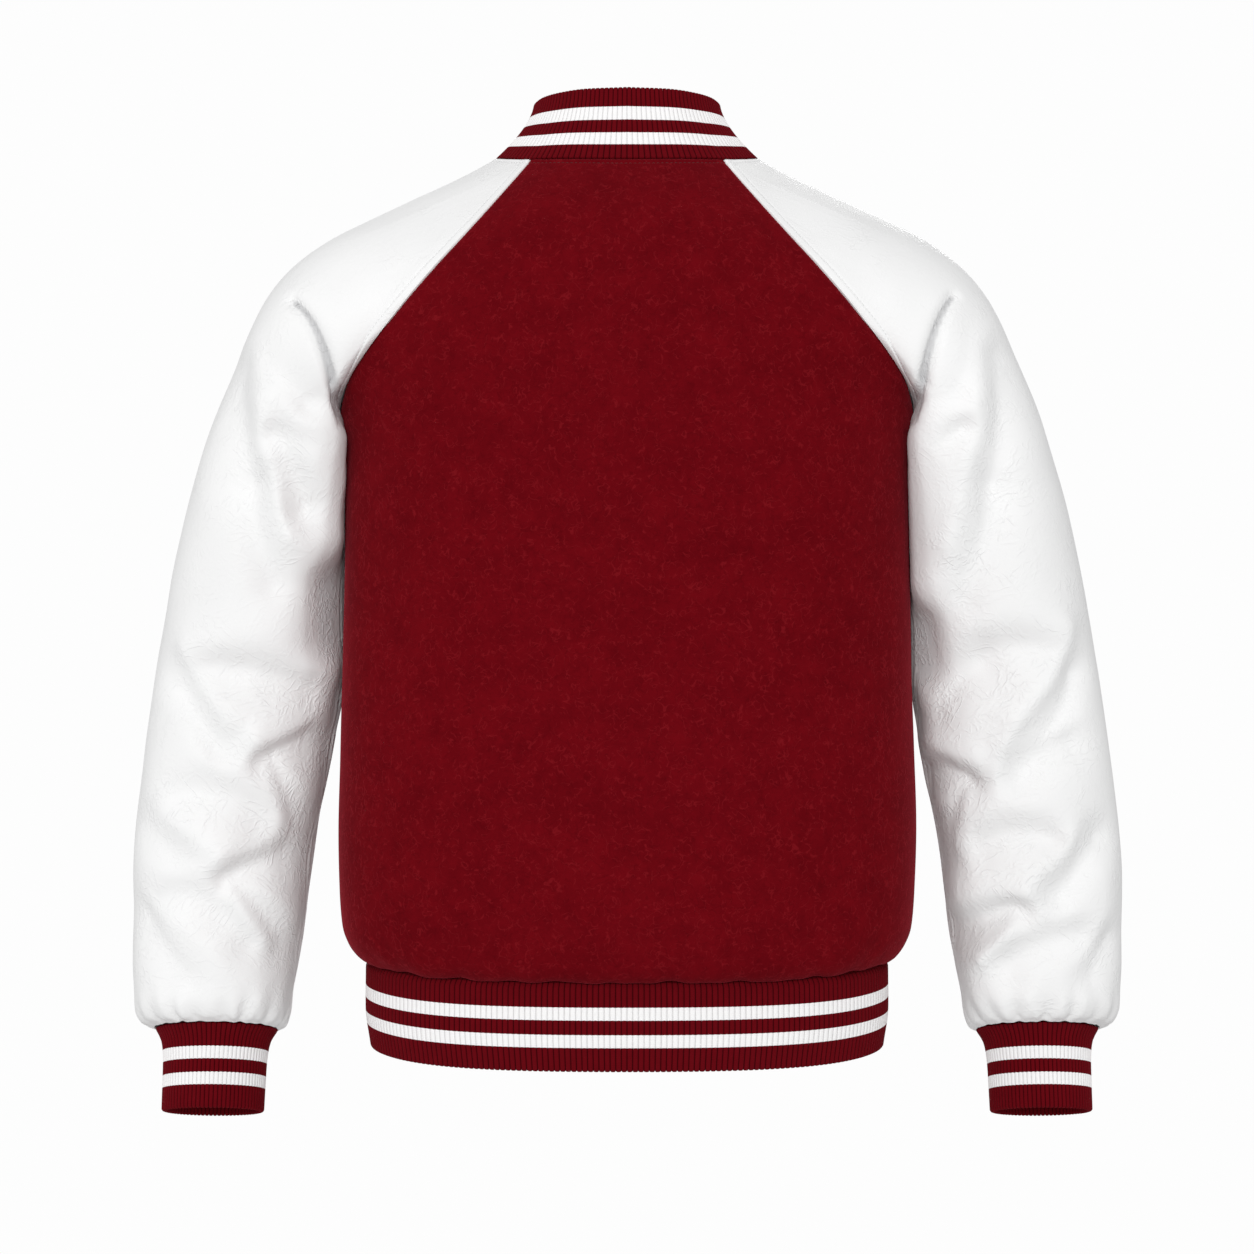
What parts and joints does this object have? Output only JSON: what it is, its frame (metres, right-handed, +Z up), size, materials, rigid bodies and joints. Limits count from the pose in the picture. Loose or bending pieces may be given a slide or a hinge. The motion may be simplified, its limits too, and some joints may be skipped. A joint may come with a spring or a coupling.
{
  "type": "varsity jacket",
  "caption": "Varsity jacket held filled out, with a wool body, leather raglan sleeves, striped rib-knit collar, cuffs and hem band, and a snap front.",
  "frame": {"origin": "middle of the neck opening, level with the tops of the shoulders, where a wearer holds the jacket up", "axes": "+X towards the wearer's left sleeve, +Y towards the wearer's back, +Z up towards the collar"},
  "size_m": [0.7352, 0.2694, 0.7589],
  "materials": {
    "wool": "felted wool with a short nap, deep red",
    "leather": "soft white leather, fine grain, satin",
    "rib_knit": "rib knit, deep red with two white stripes",
    "snap_metal": "satin metal snap cap"
  },
  "bodies": {
    "root": {"back": "wool", "front_left": "wool", "front_right": "wool", "sleeve_left": "leather", "sleeve_right": "leather", "collar": "rib_knit", "hem_band": "rib_knit", "cuff_left": "rib_knit", "cuff_right": "rib_knit", "snap_1": "snap_metal", "snap_2": "snap_metal", "snap_3": "snap_metal", "snap_4": "snap_metal", "snap_5": "snap_metal", "snap_6": "snap_metal", "snap_7": "snap_metal"}
  },
  "joints": []
}
